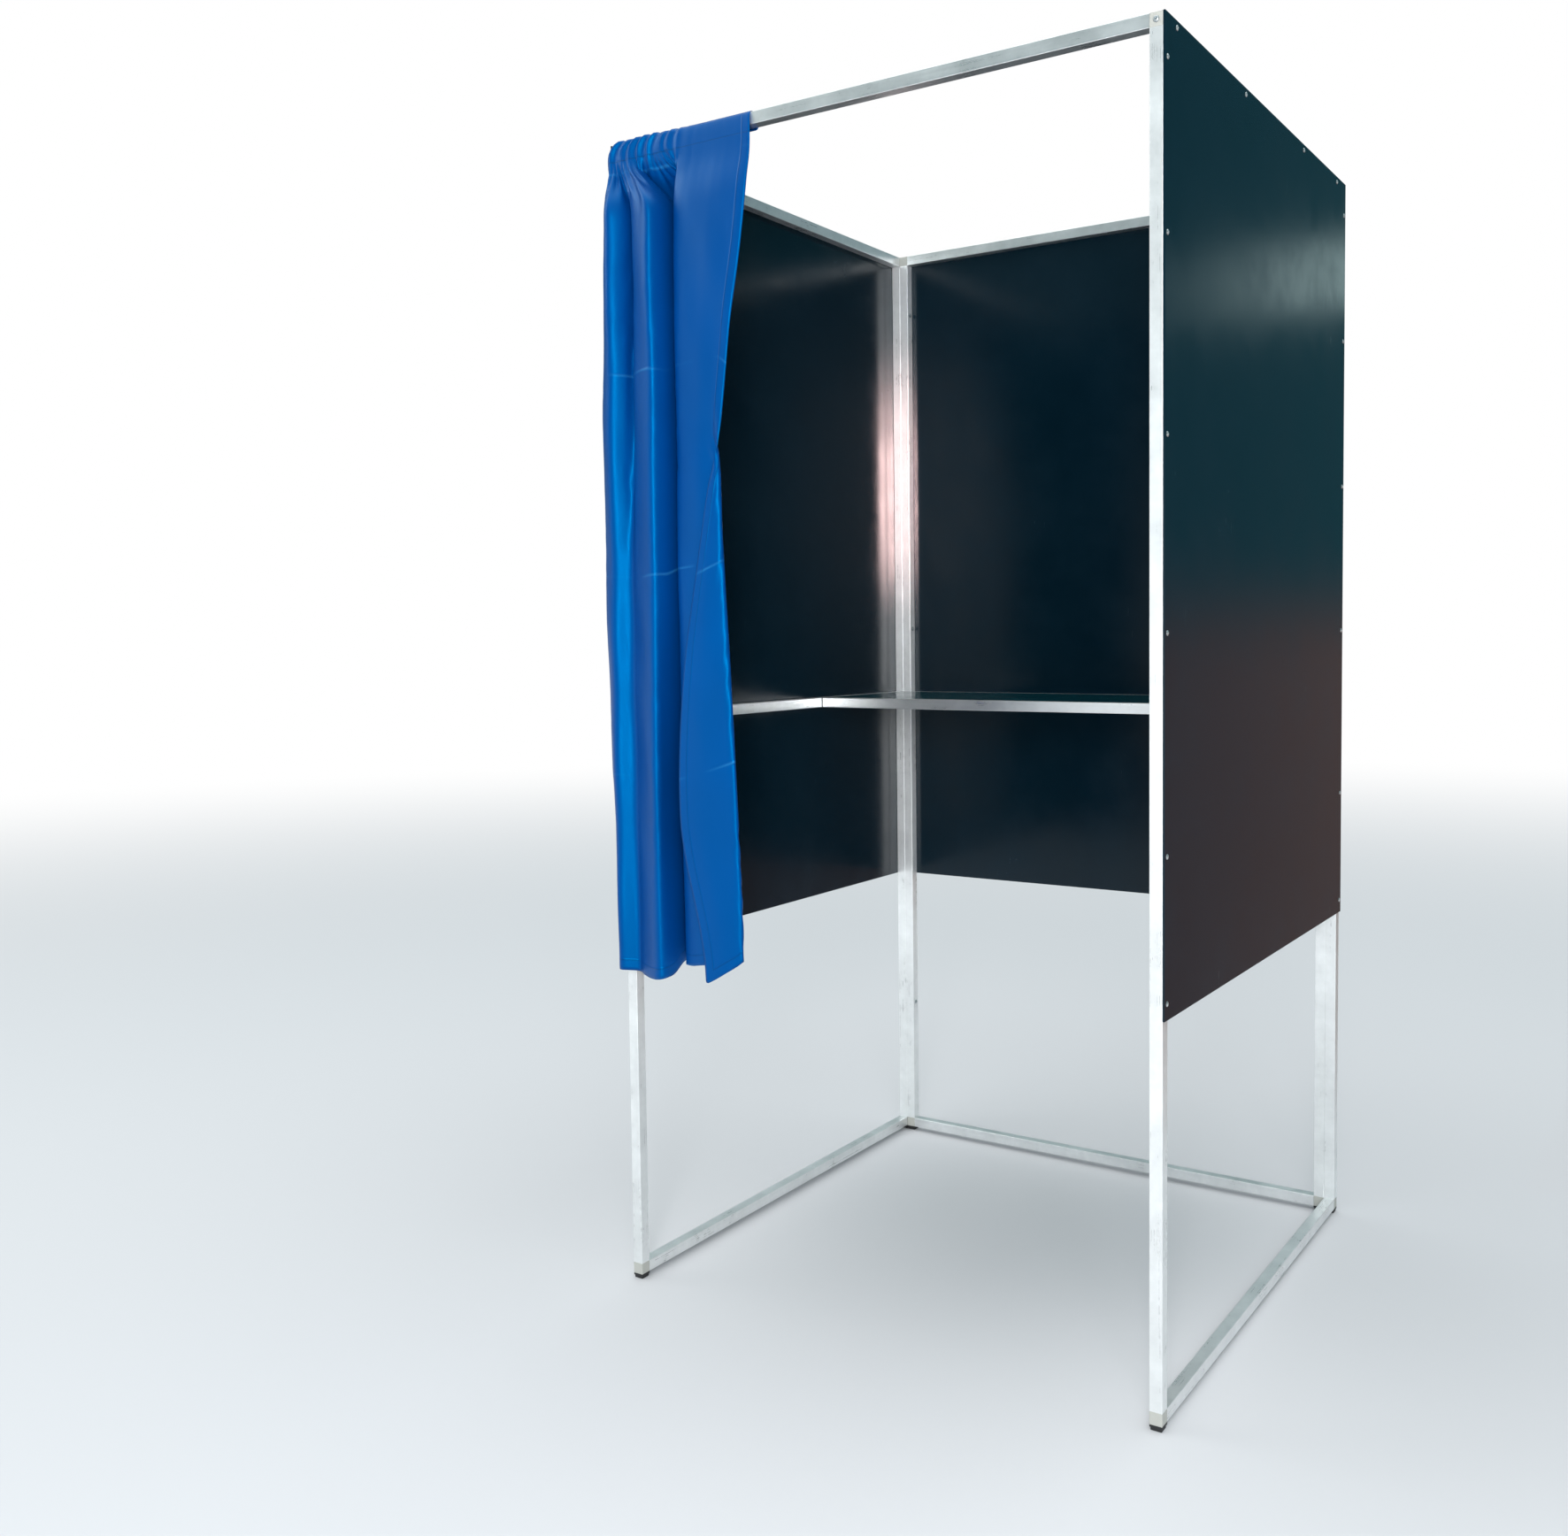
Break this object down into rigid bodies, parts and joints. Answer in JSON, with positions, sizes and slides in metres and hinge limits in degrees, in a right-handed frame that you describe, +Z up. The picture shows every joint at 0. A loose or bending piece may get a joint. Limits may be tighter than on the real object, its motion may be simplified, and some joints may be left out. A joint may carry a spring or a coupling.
{
  "type": "voting booth",
  "caption": "Free-standing privacy booth: black wall panels on a square aluminium tube frame, a rear writing shelf and a curtain that draws across the open front.",
  "frame": {"origin": "on the floor, at the centre of the outer box's underside", "axes": "+Z up, +Y to the back panel, -Y out of the curtained front, +X to the right of the booth"},
  "size_m": [1.009, 0.974, 2.0033],
  "materials": {
    "tube": "satin mill finish",
    "connector": "matte",
    "dark_plastic": "matte",
    "steel": "zinc plated",
    "rivet": "bright",
    "panel": "gloss",
    "shelf_board": "gloss",
    "curtain": "smooth satin weave"
  },
  "bodies": {
    "frame": {"left_front_post": "tube", "left_rear_post": "tube", "left_top_rail": "tube", "left_mid_rail": "tube", "left_base_rail": "tube", "right_front_post": "tube", "right_rear_post": "tube", "right_top_rail": "tube", "right_mid_rail": "tube", "right_base_rail": "tube", "back_left_post": "tube", "back_right_post": "tube", "back_top_rail": "tube", "back_mid_rail": "tube", "back_base_rail": "tube", "curtain_rail": "tube", "shelf_rail": "tube", "left_corner_joints": "connector", "right_corner_joints": "connector", "back_corner_joints": "connector", "curtain_corner_joints": "connector", "top_rail_plugs": "connector", "left_mid_plugs": "dark_plastic", "right_mid_plugs": "dark_plastic", "back_mid_plugs": "dark_plastic", "shelf_rail_plugs": "dark_plastic", "left_feet": "dark_plastic", "right_feet": "dark_plastic", "back_feet": "dark_plastic", "shelf_clips": "steel", "shelf_screws": "steel", "curtain_corner_screws": "steel", "left_joining_bolts": "steel", "right_joining_bolts": "steel", "left_joining_nuts": "steel", "right_joining_nuts": "steel", "left_panel_rivets": "rivet", "right_panel_rivets": "rivet", "back_panel_rivets": "rivet", "shelf_clip_rivets": "rivet", "left_panel": "panel", "right_panel": "panel", "back_panel": "panel", "shelf_board": "shelf_board", "curtain_fold_1": "curtain"},
    "fold_2": {"curtain_fold_2": "curtain"},
    "fold_3": {"curtain_fold_3": "curtain"},
    "fold_4": {"curtain_fold_4": "curtain"},
    "fold_5": {"curtain_fold_5": "curtain"},
    "curtain_lead": {"curtain_lead": "curtain"}
  },
  "joints": [
    {"name": "curtain_draw", "type": "slide", "parent": "frame", "child": "curtain_lead", "axis": [1, 0, 0], "range_m": [0, 0.67]},
    {"name": "fold_2_slide", "type": "slide", "parent": "frame", "child": "fold_2", "axis": [1, 0, 0], "range_m": [0, 0.1412]},
    {"name": "fold_3_slide", "type": "slide", "parent": "frame", "child": "fold_3", "axis": [1, 0, 0], "range_m": [0, 0.3288]},
    {"name": "fold_4_slide", "type": "slide", "parent": "frame", "child": "fold_4", "axis": [1, 0, 0], "range_m": [0, 0.5198]},
    {"name": "fold_5_slide", "type": "slide", "parent": "frame", "child": "fold_5", "axis": [1, 0, 0], "range_m": [0, 0.6504]}
  ],
  "couplings": [
    {"joint": "fold_2_slide", "follows": "curtain_draw", "ratio": 0.21},
    {"joint": "fold_3_slide", "follows": "curtain_draw", "ratio": 0.49},
    {"joint": "fold_4_slide", "follows": "curtain_draw", "ratio": 0.775},
    {"joint": "fold_5_slide", "follows": "curtain_draw", "ratio": 0.97}
  ]
}
